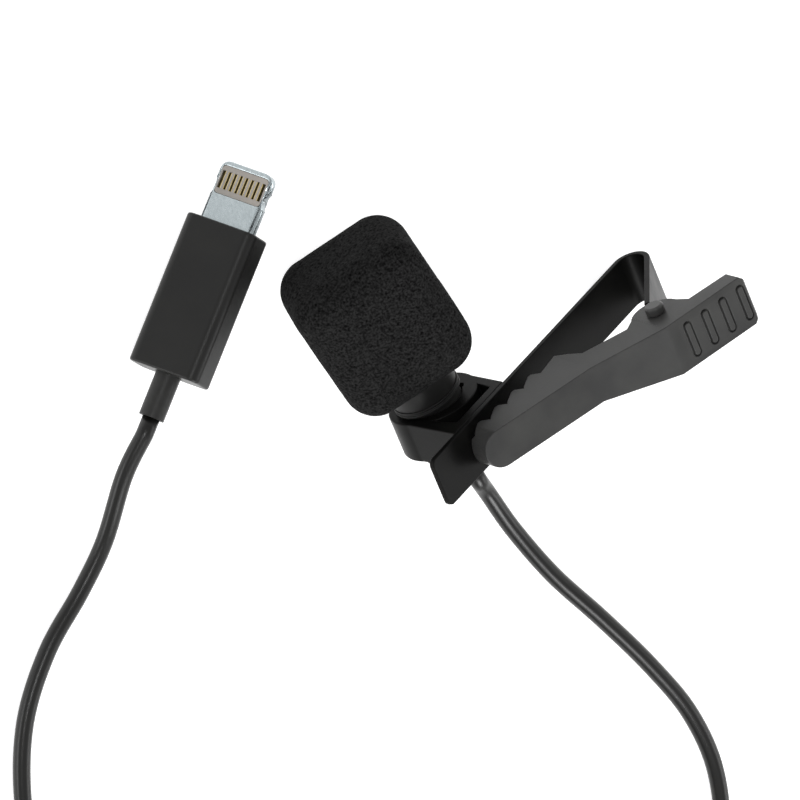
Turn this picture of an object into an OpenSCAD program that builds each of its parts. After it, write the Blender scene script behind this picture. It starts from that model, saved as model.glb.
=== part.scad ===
// Lavalier microphone: a foam-covered capsule in a sprung lapel clip, on a
// thin cable that ends in a flat eight-contact plug. Millimetres, +Z up. The
// microphone and clip lie on a table at z = 0; the cable is wound for storage.
//
// Clip frame, used before the object is laid down: the hinge pin is at the
// origin, +X runs to the jaw's front, +Y to the cable side, +Z out of the lever.

/* [Strap] */
// Width of the spring strap
strap_w = 6.0; // [5.6:0.1:8]
// Thickness of the strap's steel
strap_t = 0.65; // [0.5:0.05:0.8]
// Straight length of the strap, from its free end to the bend
strap_len = 40; // [36:0.5:50]
// Slope of the strap, down towards the bend
strap_slope = 17.5; // [16:0.5:22]
// Outer radius of the bend
bend_r = 2.3; // [1.8:0.1:2.8]
// Distance of the bend's centre behind the hinge pin
bend_back = 6.9; // [6:0.1:8]
// Distance of the bend's centre below the hinge pin
bend_drop = 13.2; // [12.8:0.1:16]
// Radius of the strap's free corners
strap_corner_r = 0.8; // [0.3:0.1:1.5]

/* [Hinge] */
// Radius of the hinge pin
pin_r = 0.8; // [0.6:0.05:1]
// Radius of the pin's heads
pin_head_r = 1.1; // [1.05:0.05:1.6]
// Height of the tall pin head, on the foam's side
pin_head_h = 1.05; // [0.4:0.05:1.5]
// Height of the low pin head, on the cable's side
pin_tail_h = 0.45; // [0.3:0.05:1]
// Radial clearance of the pin in its holes
pin_gap = 0.05; // [0.02:0.01:0.08]
// Wire diameter of the torsion spring
spring_wire = 0.45; // [0.3:0.05:0.5]
// Turns of the torsion spring
spring_turns = 2; // [2:1:3]

/* [Lever] */
// Length of the lever's jaw, from the hinge pin to its rounded tip
jaw_len = 25.9; // [24:0.1:30]
// Width of the lever's jaw
jaw_w = 4.5; // [4:0.1:5.2]
// Width of the lever's ears and thumb pad
pad_w = 6.2; // [6:0.1:7.4]
// Length of the thumb pad behind the hinge pin
pad_len = 9.7; // [9:0.1:13]
// Height of the thumb pad's sides
pad_h = 2.4; // [2:0.1:3]
// Wall of the lever
lever_t = 0.8; // [0.6:0.05:0.9]
// Radius of the ears round the pin
ear_r = 3.0; // [2.6:0.1:3.2]
// Pitch of the jaw's teeth
tooth_pitch = 3.0; // [2.4:0.1:3.2]
// Number of teeth in front of the hump
tooth_count = 4; // [3:1:4]
// Depth of the teeth
tooth_h = 1.3; // [0.8:0.1:1.6]
// Number of grip ribs on the pad
rib_count = 4; // [2:1:4]

/* [Microphone ring] */
// Outer radius of the ring
ring_r = 5.3; // [5.1:0.1:6.5]
// Height of the ring along the strap's width
ring_h = 5.0; // [4:0.1:5.4]
// Distance of the ring's centre from the strap's free end
ring_back = 12.5; // [11:0.1:16]
// Distance of the ring's centre from the strap's outer face
ring_drop = 7.7; // [7.5:0.1:9]
// Wall of the arms and foot that carry the ring
ring_arm = 1.2; // [0.8:0.1:1.5]
// Cant of the microphone's axis in the strap's plane
mic_cant = 8; // [5:1:9]

/* [Microphone] */
// Outer radius of the barrel
barrel_r = 3.9; // [3.7:0.05:4.4]
// Length of the barrel
barrel_len = 14; // [12:0.5:18]
// Wall of the barrel
barrel_t = 0.5; // [0.3:0.05:0.6]
// Radius of the neck that turns in the ring
neck_r = 3.6; // [3.4:0.05:3.7]
// Radial clearance of the neck in the ring
neck_gap = 0.06; // [0.03:0.01:0.09]
// Wall of the neck
neck_t = 0.7; // [0.5:0.05:1]
// Radius of the electret cell
cell_r = 3.0; // [2.5:0.05:3.0]
// Height of the electret cell
cell_h = 2.7; // [2:0.1:4]
// Outer radius of the foam windscreen
foam_r = 7.95; // [7:0.05:10]
// Length of the foam windscreen
foam_len = 17.5; // [16:0.1:24]
// Radius of the foam's rounded ends
foam_edge_r = 4.4; // [3:0.1:5]
// Bare length of barrel behind the foam
barrel_bare = 2.95; // [2:0.05:5]

/* [Cable] */
// Diameter of the cable
cable_d = 2.0; // [1.8:0.1:2.2]
// Mean diameter of the stored coil
coil_mean_d = 24; // [22:0.5:24]
// Turns in each layer of the coil
coil_layer_turns = 4.25; // [3.25:0.25:4.25]
// Gap between neighbouring turns
coil_gap = 0.45; // [0.42:0.01:0.5]
// Thickness of the tie's tape
tie_t = 0.4; // [0.3:0.05:0.6]
// Width of the tie's tape
tie_w = 4; // [3:0.5:6]

/* [Plug] */
// Width of the plug's housing
housing_w = 8.8; // [8.2:0.1:10.4]
// Thickness of the plug's housing
housing_h = 5.0; // [4.6:0.1:6]
// Length of the plug's housing
housing_len = 17.6; // [15:0.1:24]
// Radius of the housing's long edges
housing_edge_r = 1.2; // [0.6:0.1:2]
// Wall of the housing
housing_t = 0.6; // [0.5:0.05:0.7]
// Width of the metal tongue
tongue_w = 6.85; // [6.7:0.05:7]
// Thickness of the metal tongue
tongue_h = 1.5; // [1.4:0.05:1.6]
// Length of the tongue outside the housing
tongue_len = 6.9; // [6.6:0.1:7.2]
// Number of contacts on each face
contact_count = 8; // [6:1:8]
// Length of the neck sleeve behind the housing
sleeve_len = 5.1; // [4:0.1:8]
// Radius of the neck sleeve
sleeve_r = 1.45; // [1.35:0.05:1.6]

/* [Hidden] */

// Finish colours of the sub-parts
black_steel = "#262626";
soft_black = "#2b2b29";
lever_grey = "#4a4a49";
foam_black = "#1c1c1c";
cable_black = "#2a2a28";
bright_steel = "#b9bfc2";
gold = "#c8a860";
board_green = "#24563a";

arc_fn = 64;   // facets that mark a true circle
hair = 0.02;   // clearance between pieces that are bonded or pressed together
over = 0.1;    // how far a cutter stands past the face it cuts

// ---- How the microphone and clip lie on the table ----
rest_pitch = -8.0;   // turn about the clip's Y axis
rest_roll = -11.0;   // turn about the table's X axis

function rot_y(p, a) = [p.x * cos(a) + p.z * sin(a), p.y, p.z * cos(a) - p.x * sin(a)];
function rot_x(p, a) = [p.x, p.y * cos(a) - p.z * sin(a), p.y * sin(a) + p.z * cos(a)];
function rot_z(p, a) = [p.x * cos(a) - p.y * sin(a), p.x * sin(a) + p.y * cos(a), p.z];
function laid(p) = rot_x(rot_y(p, rest_pitch), rest_roll);

// ---- Strap ----
bend_c = [-bend_back, -bend_drop];
strap_dir = [cos(strap_slope), sin(strap_slope)];
strap_out = [sin(strap_slope), -cos(strap_slope)];
strap_tip = bend_c + bend_r * strap_out + strap_len * strap_dir;
eye_in = pin_r + hair;
eye_out = eye_in + strap_t;
leg_angle = atan2(bend_drop, bend_back) - asin((bend_r + eye_in) / norm(bend_c));
leg_rear = [-sin(leg_angle), cos(leg_angle)];
ear_gap = 0.1;                             // side play between ear and eye
eye_w = pad_w - 2 * lever_t - 2 * ear_gap; // width of the leg between the ears
shoulder_r = ear_r + 0.5;                  // where the leg narrows, from the pin
spring_pitch = spring_wire + 0.12;
spring_span = spring_turns * spring_pitch + 2 * spring_wire + 0.06;
spring_bay = spring_span + 0.4;            // slot in the eye for the spring

// ---- Microphone axis: local z runs from the foam's end to the cable ----
ring_c = strap_tip - ring_back * strap_dir + ring_drop * strap_out;
ring_top = -strap_w / 2;
mic_c = [ring_c.x, ring_top + ring_h / 2, ring_c.y];
lip_r = barrel_r + 0.15;
cant_dip = lip_r * sin(mic_cant) + ring_h / 2 / cos(mic_cant);
lip_z = -cant_dip - 0.12;                  // the lip's face over the ring
cap_z = cant_dip + 0.12;                   // the rear cap's face under the ring
lip_h = 0.8;
barrel_back = lip_z - lip_h;
barrel_front = barrel_back - barrel_len;
foam_back = barrel_back - barrel_bare + lip_h;
foam_front = foam_back - foam_len;
cap_h = 0.9;
relief_len = 3.6;
mic_end = cap_z + cap_h + relief_len;      // where the cable leaves

function mic_point(z) = mic_c + rot_z([0, z, 0], mic_cant);

// Lowest points of the clip and microphone once laid down
down = rot_y(rot_x([0, 0, -1], -rest_roll), -rest_pitch);
function disc_low(c, axis, r) = laid(c).z - r * sqrt(1 - pow(down * axis, 2));
mic_axis = rot_z([0, 1, 0], mic_cant);
foam_low = disc_low(mic_point(foam_back - foam_edge_r), mic_axis, foam_r - foam_edge_r)
    - foam_edge_r;
ring_low = disc_low([ring_c.x, ring_top + ring_h, ring_c.y], [0, 1, 0], ring_r);
strap_low = min(disc_low([bend_c.x, -strap_w / 2, bend_c.y], [0, 1, 0], bend_r),
                disc_low([bend_c.x, strap_w / 2, bend_c.y], [0, 1, 0], bend_r));
lift = -min(foam_low, ring_low, strap_low);

// ---- Where the laid object stands on the table ----
place = [-12.26, 10.70];

function on_table(p) = laid(p) + [place.x, place.y, lift];
cable_exit = on_table(mic_point(mic_end));
cable_heading = laid(mic_axis);

module lay() {
    translate([place.x, place.y, lift]) rotate([rest_roll, 0, 0]) rotate([0, rest_pitch, 0])
        children();
}

// A flat outline in the clip's X-Z plane, extruded from y0 to y1
module across(y0, y1) {
    translate([0, y1, 0]) rotate([90, 0, 0]) linear_extrude(y1 - y0) children();
}

module mic_place() {
    lay() translate(mic_c) rotate([0, 0, mic_cant]) rotate([-90, 0, 0]) children();
}

module disc(r, z0, z1) {
    translate([0, 0, z0]) cylinder(r = r, h = z1 - z0, $fn = arc_fn);
}

module tube(r_out, r_in, z0, z1) {
    difference() {
        disc(r_out, z0, z1);
        disc(r_in, z0 - over, z1 + over);
    }
}

// ---- Clip ----
function bend_arc(r, from, to) = let (steps = 24) [for (i = [0:steps])
    let (a = from + (to - from) * i / steps) bend_c + r * [cos(a), sin(a)]];

// Side outline of the strap: plate, bend, leg and the eye round the pin
module strap_outline() {
    at_plate = strap_slope + 270;
    at_leg = leg_angle + 90;
    eye_from = leg_angle - 90 - acos(eye_in / eye_out);
    eye_to = leg_angle - 450;
    steps = 40;
    polygon(concat([strap_tip], bend_arc(bend_r, at_plate, at_leg),
                   [for (i = [0:steps]) let (a = eye_from + (eye_to - eye_from) * i / steps)
                       eye_out * [cos(a), sin(a)]],
                   bend_arc(bend_r - strap_t, at_leg, at_plate),
                   [strap_tip - strap_t * strap_out]));
}

module free_corner(side) {
    r = strap_corner_r;
    translate([strap_tip.x, 0, strap_tip.y]) rotate([0, -strap_slope, 0])
        translate([-r, side * (strap_w / 2 - r), -2])
            difference() {
                translate([0, side > 0 ? 0 : -r - over, 0]) cube([r + over, r + over, 4]);
                translate([0, 0, -over]) cylinder(r = r, h = 5, $fn = arc_fn);
            }
}

module clip_strap() {
    slot_r = 2.1;
    side_cut = strap_w - eye_w;
    color(black_steel) lay() difference() {
        across(-strap_w / 2, strap_w / 2) strap_outline();
        for (side = [-1, 1]) {
            free_corner(side);
            translate([0, side * (eye_w + side_cut) / 2, 0]) rotate([90, 0, 0])
                cylinder(r = shoulder_r, h = side_cut, center = true, $fn = arc_fn);
        }
        rotate([90, 0, 0]) cylinder(r = eye_in, h = eye_w + 2, center = true, $fn = arc_fn);
        rotate([90, 0, 0]) cylinder(r = slot_r, h = spring_bay, center = true, $fn = arc_fn);
    }
}

// Outline of the ring's foot and arms in the strap's own directions: u runs
// back from the free end, v stands out of the strap's outer face
module bracket_outline() {
    foot_front = ring_back - ring_r - 1.6;
    foot_back = ring_back + ring_r - 1.8;
    polygon([[foot_front, hair], [foot_back, hair], [ring_back + ring_r - hair, ring_drop],
             [ring_back - ring_r + hair, ring_drop]]);
}

module bracket_hole() {
    foot_front = ring_back - ring_r - 1.6;
    foot_back = ring_back + ring_r - 1.8;
    difference() {
        polygon([[foot_front + 1.9 * ring_arm, ring_arm], [foot_back - ring_arm, ring_arm],
                 [ring_back + ring_r - ring_arm, ring_drop],
                 [ring_back - ring_r + ring_arm, ring_drop]]);
        translate([ring_back, ring_drop]) circle(r = ring_r, $fn = arc_fn);
    }
}

module ring_bracket() {
    color(black_steel) difference() {
        lay() difference() {
            across(ring_top, ring_top + ring_h) translate(strap_tip)
                rotate(180 + strap_slope) {
                    bracket_outline();
                    translate([ring_back, ring_drop]) circle(r = ring_r, $fn = arc_fn);
                }
            across(ring_top - over, ring_top + ring_h + over) translate(strap_tip)
                rotate(180 + strap_slope) bracket_hole();
        }
        mic_place() {
            cylinder(r = neck_r + neck_gap, h = 3 * ring_h, center = true, $fn = arc_fn);
            // Relief that lets the ring spring open over the neck
            relief = 0.9;
            rotate(200) translate([neck_r, 0, 0])
                cylinder(r = relief / 2, h = 3 * ring_h, center = true, $fn = arc_fn);
        }
    }
}

module hinge_pin() {
    reach = pad_w / 2 + 0.05;
    color(lever_grey) lay() rotate([90, 0, 0]) {
        cylinder(r = pin_r, h = 2 * reach + 0.2, center = true, $fn = arc_fn);
        disc(pin_head_r, reach, reach + pin_head_h - 0.2);
        translate([0, 0, reach + pin_head_h - 0.2])
            cylinder(r1 = pin_head_r, r2 = pin_head_r - 0.2, h = 0.2, $fn = arc_fn);
        disc(pin_head_r, -reach - pin_tail_h, -reach);
    }
}

// ---- Swept tubes ----
// Direction of the path at point i
function heading(p, i) = let (a = p[max(i - 1, 0)], b = p[min(i + 1, len(p) - 1)])
    (b - a) / norm(b - a);
// Side vector at point i, carried along the path without twist
function side_at(p, i, s) = let (t = heading(p, i), v = s - (s * t) * t) v / norm(v);
function sides(p, i = 0, s = [0, 0, 1], out = []) =
    i == len(p) ? out : let (v = side_at(p, i, s)) sides(p, i + 1, v, concat(out, [v]));

module sweep(p, r, n, first = [0, 0, 1]) {
    s = sides(p, 0, first);
    m = len(p);
    ring = [for (i = [0:m - 1]) let (t = heading(p, i), w = cross(t, s[i]))
        for (k = [0:n - 1]) let (a = 360 * k / n) p[i] + r * (cos(a) * s[i] + sin(a) * w)];
    walls = [for (i = [0:m - 2], k = [0:n - 1]) let (j = (k + 1) % n,
        q = [i * n + k, (i + 1) * n + k, (i + 1) * n + j, i * n + j])
        each [[q[0], q[1], q[2]], [q[0], q[2], q[3]]]];
    start = [for (k = [1:n - 2]) [0, k, k + 1]];
    stop = [for (k = [1:n - 2]) [(m - 1) * n, (m - 1) * n + k + 1, (m - 1) * n + k]];
    polyhedron(points = ring, faces = concat(walls, start, stop), convexity = 10);
}

// ---- Lever ----
crease_front = [10.2, -0.2];
crease_back = [1.9, 3.95];
pad_rise = 0.55;
tip_z = -1.5;
function pad_top(x) = crease_back.y + (crease_back.x - x) * pad_rise / (crease_back.x + pad_len);

// Tooth points, from the jaw's front towards the hump
tooth_front = [jaw_len - 2.9, -5.3];
tooth_drop = 0.6;
function tooth(k) = let (tip = tooth_front - k * [tooth_pitch, tooth_drop])
    [tip + [1.9, tooth_h], tip + [0.25, 0], tip - [0.25, 0], tip + [-0.9, tooth_h - 0.25]];
hump = tooth_front - [tooth_count * tooth_pitch + 1.2, tooth_count * tooth_drop - 0.3];

module lever_side() {
    end = -pad_len;
    polygon(concat(
        [[jaw_len, tip_z], [jaw_len, -4.0], [jaw_len - 0.6, -4.35]],
        [for (k = [0:tooth_count - 1]) each tooth(k)],
        [hump + [0.9, 0.3], hump + [0.2, 0], hump + [-0.6, 1.6], hump + [-1.3, 3.6],
         [3.5, -1.3], [2.2, -2.0], [0, -2.0], [-ear_r, 0],
         [-ear_r - 0.6, pad_top(0) - pad_h],
         [end + 0.6, pad_top(end) - pad_h], [end, pad_top(end) - pad_h + 0.5],
         [end, pad_top(end) - 0.5], [end + 0.4, pad_top(end)],
         crease_back, crease_front]));
    circle(r = ear_r, $fn = arc_fn);
}

module lever_hollow_side() {
    end = -pad_len + lever_t;
    low = hump.y - 4;
    polygon([[jaw_len - lever_t, tip_z - lever_t], [jaw_len, low], [-ear_r - 1, low],
             [-ear_r - 1, -ear_r - 1], [end, -ear_r - 1],
             [end, pad_top(end) - lever_t], crease_back - [-0.1, lever_t],
             crease_front - [-0.2, lever_t]]);
}

// Plan of the lever, drawn in by inset
module lever_plan(inset) {
    r = jaw_w / 2 - inset;
    half = pad_w / 2 - inset;
    translate([jaw_len - jaw_w / 2, 0]) circle(r = r, $fn = arc_fn);
    polygon([[jaw_len - jaw_w / 2, r], [crease_front.x, r], [crease_back.x, half],
             [-pad_len + inset + 0.8, half], [-pad_len + inset, half - 0.8],
             [-pad_len + inset, 0.8 - half], [-pad_len + inset + 0.8, -half],
             [crease_back.x, -half], [crease_front.x, -r], [jaw_len - jaw_w / 2, -r]]);
}

module stadium(length, width, h) {
    r = width / 2;
    half = length / 2 - r;
    for (s = [-1, 1]) translate([0, s * half, 0]) cylinder(r = r, h = h, $fn = 32);
    translate([-r, -half, 0]) cube([width, 2 * half, h]);
}

// Each grip rib stands in a shallow groove of its own outline
module grip_ribs(groove) {
    pitch = 2.58;
    slope = atan2(pad_rise, crease_back.x + pad_len);
    for (i = [0:rib_count - 1]) let (x = -0.75 - i * pitch)
        translate([x, 0, pad_top(x)]) rotate([0, slope, 0])
            translate([0, 0, -0.3]) {
                if (groove) stadium(4.5, 1.15, 0.5);
                else stadium(4.1, 0.72, 0.42);
            }
}

module clip_lever() {
    color(lever_grey) lay() {
        difference() {
            intersection() {
                across(-pad_w, pad_w) lever_side();
                translate([0, 0, -15]) linear_extrude(30) lever_plan(0);
            }
            intersection() {
                across(-pad_w, pad_w) lever_hollow_side();
                translate([0, 0, -15]) linear_extrude(30) lever_plan(lever_t);
            }
            rotate([90, 0, 0])
                cylinder(r = pin_r + pin_gap, h = pad_w + 2, center = true, $fn = arc_fn);
            grip_ribs(true);
        }
        grip_ribs(false);
    }
}

// ---- Spring ----
// The coil winds round the pin from its foot on the strap's leg; the arm starts
// beside the coil's last turn and runs to its seat under the thumb pad
spring_r = pin_r + 0.22 + spring_wire / 2;
foot_angle = leg_angle + 90;
arm_seat = [-pad_len + 3.4, pad_top(-pad_len + 3.4) - lever_t - spring_wire / 2 - 0.08];
arm_angle = atan2(arm_seat.y, arm_seat.x) + acos(spring_r / norm(arm_seat)) - 360;
spring_sweep = foot_angle - arm_angle + 360 * (spring_turns - 1);
spring_steps = round(spring_sweep / 45);
function on_spring(i) = let (u = i / spring_steps, a = foot_angle - u * spring_sweep)
    [spring_r * cos(a), u * spring_turns * spring_pitch + (spring_wire - spring_span) / 2,
     spring_r * sin(a)];

module torsion_spring() {
    rest = -5 * [cos(leg_angle), sin(leg_angle)]
        + (spring_wire / 2 + 0.05 - eye_in) * leg_rear;
    foot = [rest.x, on_spring(0).y, rest.y];
    color(bright_steel) lay()
        sweep(concat([foot, foot + 0.5 * (on_spring(0) - foot)],
                     [for (i = [0:spring_steps]) on_spring(i)]), spring_wire / 2, 6, [0, 1, 0]);
}

module spring_arm() {
    y = (spring_span - spring_wire) / 2;
    root = spring_r * [cos(arm_angle), sin(arm_angle)];
    color(bright_steel) lay()
        sweep([for (p = [root, (root + arm_seat) / 2, arm_seat]) [p.x, y, p.y]],
              spring_wire / 2, 6, [0, 1, 0]);
}

// ---- Microphone ----
module foam_windscreen() {
    bore = barrel_r + 0.06;
    mouth = 0.6;
    front = barrel_front - 0.15;
    inner = foam_r - foam_edge_r;
    rear_turn = acos(max(0, (bore + mouth - inner) / foam_edge_r));
    rear_z = foam_back - foam_edge_r * (1 - sin(rear_turn));
    steps = 10;
    color(foam_black) mic_place() rotate_extrude($fn = arc_fn) polygon(concat(
        [[0, front], [0, foam_front]],
        [for (i = [0:steps]) let (a = 90 * i / steps)
            [inner + foam_edge_r * sin(a), foam_front + foam_edge_r * (1 - cos(a))]],
        [for (i = [0:steps]) let (a = rear_turn * i / steps)
            [inner + foam_edge_r * cos(a), foam_back - foam_edge_r * (1 - sin(a))]],
        [[bore, rear_z - mouth], [bore, front]]));
}

module mic_barrel() {
    color(soft_black) mic_place() tube(barrel_r, barrel_r - barrel_t, barrel_front, barrel_back);
}

// Perforated disc in the barrel's mouth
module front_grille() {
    r = barrel_r - barrel_t - hair;
    hole_r = 0.28;
    color(bright_steel) mic_place() difference() {
        disc(r, barrel_front, barrel_front + 0.5);
        disc(hole_r, barrel_front - 1, barrel_front + 1);
        for (ring = [1:3], i = [0:6 * ring - 1]) rotate(60 * i / ring)
            translate([0.95 * ring, 0, 0]) disc(hole_r, barrel_front - 1, barrel_front + 1);
    }
}

felt_z = barrel_front + 0.5 + hair;
cell_z = felt_z + 0.5 + hair;
board_z = cell_z + cell_h + hair;

module acoustic_felt() {
    color(soft_black) mic_place() disc(barrel_r - barrel_t - hair, felt_z, felt_z + 0.5);
}

module electret_cell() {
    color(bright_steel) mic_place() difference() {
        disc(cell_r - hair, cell_z, cell_z + cell_h);
        disc(0.5, cell_z - over, cell_z + 0.3);
    }
}

module cell_gasket() {
    color(soft_black) mic_place()
        tube(barrel_r - barrel_t - hair, cell_r + hair, cell_z, cell_z + cell_h - 0.4);
}

// Round board behind the cell, with its amplifier and two wires to the cable
module mic_board() {
    color(board_green) mic_place() {
        disc(cell_r - hair, board_z, board_z + 0.6);
        translate([-0.8, -0.6, board_z + 0.6 - hair]) cube([1.6, 1.2, 0.6]);
        for (x = [-1.6, 1.6]) translate([x, 0, 0])
            disc(0.22, board_z + 0.6 - hair, cap_z + cap_h - 1.2);
    }
}

// Lip, neck and spigot: the piece that turns in the ring
module mic_collar() {
    spigot = 2.4;
    groove = 0.14;
    color(soft_black) mic_place() difference() {
        union() {
            disc(lip_r, lip_z - lip_h + hair, lip_z);
            disc(neck_r, lip_z - 0.2, cap_z - hair);
            disc(barrel_r - barrel_t - hair, barrel_back - spigot, barrel_back + 0.2);
        }
        disc(neck_r - neck_t, barrel_back - spigot - 1, cap_z + 1);
        tube(lip_r + 1, lip_r - 0.18, lip_z - 0.45 - groove, lip_z - 0.45 + groove);
    }
}

module rear_cap() {
    spigot = 1.8;
    color(soft_black) mic_place() difference() {
        union() {
            disc(neck_r + 0.3, cap_z, cap_z + cap_h - 0.3);
            translate([0, 0, cap_z + cap_h - 0.3])
                cylinder(r1 = neck_r + 0.3, r2 = neck_r, h = 0.3, $fn = arc_fn);
            disc(neck_r - neck_t - hair, cap_z - spigot, cap_z + 0.1);
        }
        disc(cable_d / 2 + 0.3 + hair, cap_z + cap_h - 0.8, cap_z + 2 * cap_h);
        for (x = [-1.6, 1.6]) translate([x, 0, 0])
            disc(0.3, cap_z - spigot - 1, cap_z + cap_h - 1.1);
        disc(2.2, cap_z - spigot - 1, cap_z - 0.3);
    }
}

module mic_strain_relief() {
    r = cable_d / 2 + 0.3;
    foot = cap_z + cap_h;
    color(cable_black) mic_place() {
        disc(r, foot - 0.8 + hair, foot + 0.1);
        translate([0, 0, foot + hair])
            cylinder(r1 = 2.1, r2 = r, h = relief_len * 0.55, $fn = arc_fn);
        disc(r, foot + relief_len * 0.5, mic_end);
    }
}

// ---- Cable ----
cable_r = cable_d / 2;
coil_pitch = cable_d + coil_gap;
coil_layers = 4;
coil_turns = coil_layers * coil_layer_turns;
coil_in_r = (coil_mean_d - coil_layer_turns * coil_pitch) / 2;
coil_out_r = (coil_mean_d + coil_layer_turns * coil_pitch) / 2;
coil_c = [46, 65];
coil_z = cable_r + tie_t + 0.1;
coil_top_z = coil_z + (coil_layers - 1) * coil_pitch;
coil_rings = 24;      // rings in each loop

// Radius and height of the wound cable after t turns
function layer_of(t) = min(floor(t / coil_layer_turns), coil_layers - 1);
function wound_r(t) = let (k = layer_of(t), u = t - k * coil_layer_turns)
    k % 2 == 0 ? coil_out_r - u * coil_pitch : coil_in_r + u * coil_pitch;
function climb(x) = x <= -0.25 ? 0 : x >= 0.25 ? 1 : 2 * x + 0.5;
function wound_z(t) = coil_z + coil_pitch
    * (climb(t - coil_layer_turns) + climb(t - 2 * coil_layer_turns)
       + climb(t - 3 * coil_layer_turns));
function wound(t) = [coil_c.x + wound_r(t) * sin(360 * t),
                     coil_c.y + wound_r(t) * cos(360 * t), wound_z(t)];
coil_start = [coil_c.x - cable_d, coil_c.y + coil_out_r, coil_z];
coil_stop = [coil_c.x + cable_d, coil_c.y + coil_out_r, coil_top_z];
coil_path = concat([coil_start], [for (i = [0:coil_turns * coil_rings]) wound(i / coil_rings)],
                   [coil_stop]);

// Least gap between turns, measured between centreline points half a turn or
// more apart along the cable
coil_self_gap = min([for (i = [1:2:len(coil_path) - 2 - 12])
    min([for (j = [i + 12:1:min(len(coil_path) - 2, i + 5 * coil_rings)])
        norm(coil_path[i] - coil_path[j])])]) - cable_d;

// Length of a path
function run(p) = len(p) < 2 ? 0 :
    [for (i = [0:len(p) - 2]) norm(p[i + 1] - p[i])] * [for (i = [0:len(p) - 2]) 1];

// A smooth curve through points, with n steps between neighbours
function smooth(p, n) = concat([for (i = [0:len(p) - 2], k = [0:n - 1])
    let (a = p[max(i - 1, 0)], b = p[i], c = p[i + 1], d = p[min(i + 2, len(p) - 1)], t = k / n)
    0.5 * (2 * b + t * (c - a) + t * t * (2 * a - 5 * b + 4 * c - d)
           + t * t * t * (3 * b - a - 3 * c + d))], [p[len(p) - 1]]);

// From the microphone's strain relief, over the table, to the coil
mic_route = concat(
    [cable_exit + cable_d * cable_heading],
    [[9.8, 19.6, 2.3], [8.7, 25.2, 1.4], [6.8, 32.3, 1.1], [4.0, 39.6, 1.1],
     [1.3, 47.5, 1.1], [-0.4, 55, 1.1], [0, 62.5, 1.1], [3.2, 69.8, 1.1], [9.4, 75.8, 1.1],
     [17.5, 79.8, 1.1], [26.5, 81.8, 1.1]],
    [coil_start - [11, 0, 0.2], coil_start - [cable_d, 0, 0]]);

// ---- Plug: local z runs out of the tongue, its broad face looks along -y ----
plug_at = [23.6, -23.0];
plug_heading = 128;
plug_roll = 47;
plug_rise = (housing_w / 2 - housing_edge_r) * sin(plug_roll)
    + (housing_h / 2 - housing_edge_r) * cos(plug_roll) + housing_edge_r;
plug_axis = rot_z([0, 1, 0], plug_heading);
function plug_point(z) = [plug_at.x, plug_at.y, plug_rise] + z * plug_axis;
plug_back = -housing_len - sleeve_len;

// From the coil, over the table, to the plug's sleeve
plug_route = concat(
    [coil_stop + [cable_d, 0, 0]],
    [[57.5, 81.2, 6.6], [66, 76.6, 3.4], [72.5, 69.2, 1.5], [76, 60, 1.1], [77.6, 50, 1.1],
     [77.8, 40, 1.1], [76.6, 30.5, 1.1], [73.8, 21.6, 1.1], [69.4, 14, 1.1],
     [63.4, 8.4, 1.1], [56.9, 4.6, 1.1], [51.9, 0.9, 1.7]],
    [plug_point(plug_back - 7) - [0, 0, 1.0], plug_point(plug_back - cable_d)]);

// The end pieces run straight, square to what they meet
mic_path = concat([cable_exit + hair * cable_heading], smooth(mic_route, 2),
                  [coil_start - [hair, 0, 0]]);
plug_path = concat([coil_stop + [hair, 0, 0]], smooth(plug_route, 2),
                   [plug_point(plug_back - hair)]);
echo(str("coil: least gap between turns ", coil_self_gap, " mm"));
echo(str("cable length ", run(mic_path) + run(coil_path) + run(plug_path), " mm"));

module cable_mic_side() {
    color(cable_black) sweep(mic_path, cable_r, 8);
}

module cable_plug_side() {
    color(cable_black) sweep(plug_path, cable_r, 8);
}

module cable_coil() {
    color(cable_black) sweep(coil_path, cable_r, 6);
}

// Band of tape round the coil's bundle of turns
module cable_tie() {
    room = 0.5;
    inner = coil_in_r - cable_r - room;
    outer = coil_out_r + cable_r + 0.3;
    high = coil_top_z + cable_r + 0.3;
    r = 1.2;
    color(soft_black) translate([coil_c.x - tie_w / 2, coil_c.y, 0]) rotate([90, 0, 90])
        linear_extrude(tie_w) difference() {
            rounded_box(-outer - tie_t, -inner + tie_t, 0, high + tie_t, r + tie_t);
            rounded_box(-outer, -inner, tie_t, high, r);
        }
}

// A flat rectangle with round corners
module rounded_box(x0, x1, y0, y1, r) {
    translate([x0 + r, y0]) square([x1 - x0 - 2 * r, y1 - y0]);
    translate([x0, y0 + r]) square([x1 - x0, y1 - y0 - 2 * r]);
    for (x = [x0 + r, x1 - r], y = [y0 + r, y1 - r]) translate([x, y]) circle(r = r, $fn = 32);
}

// ---- Plug ----
module plug_place() {
    translate([plug_at.x, plug_at.y, plug_rise]) rotate([0, 0, plug_heading])
        rotate([0, -plug_roll, 0]) rotate([-90, 0, 0]) children();
}

module bar(w, h, z0, z1) {
    translate([-w / 2, -h / 2, z0]) cube([w, h, z1 - z0]);
}

window_w = 5.9;
window_z0 = 3.1;
window_z1 = 6.35;
tongue_root = -5;
board_w = 4.9;
board_h = 0.6;
board_back = -13;
contact_pitch = 0.72;
contact_w = 0.4;
contact_len = 2.0;
contact_z = (window_z0 + window_z1) / 2;

module window(w, z0, z1, h) {
    rotate([90, 0, 0]) linear_extrude(h, center = true)
        rounded_box(-w / 2, w / 2, z0, z1, 0.45);
}

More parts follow.
